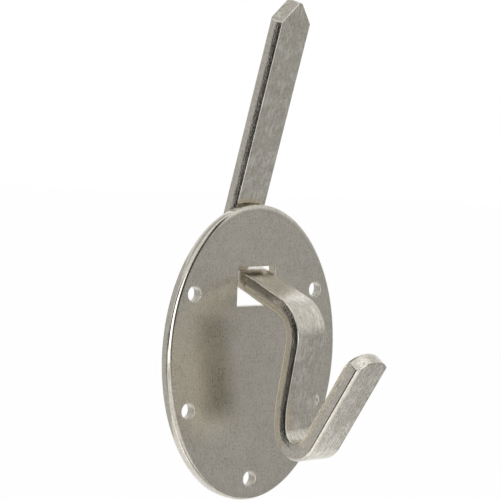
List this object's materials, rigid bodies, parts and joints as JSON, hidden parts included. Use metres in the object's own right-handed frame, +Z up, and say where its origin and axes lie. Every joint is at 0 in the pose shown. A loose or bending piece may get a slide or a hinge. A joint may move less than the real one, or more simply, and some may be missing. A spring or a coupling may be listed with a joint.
{
  "type": "drywall hook",
  "caption": "Wallboard hook: a bent flat steel bar with a pointed leg, hung loosely through a slotted oval nail plate, its upturned end holding what hangs.",
  "frame": {"origin": "midway between the upper pair of nail holes, on the plate's back", "axes": "-Y out of the wall, the way the nails are drawn; +Z up, along the plate's long way and the leg; +X to the right seen from the front"},
  "size_m": [0.03, 0.0294, 0.0675],
  "materials": {
    "wall_plate": "satin plated steel, fine upright grain",
    "hook": "satin plated steel, barrel finished, scuffed along the bar"
  },
  "bodies": {
    "root": {"wall_plate": "wall_plate", "hook": "hook"}
  },
  "joints": []
}
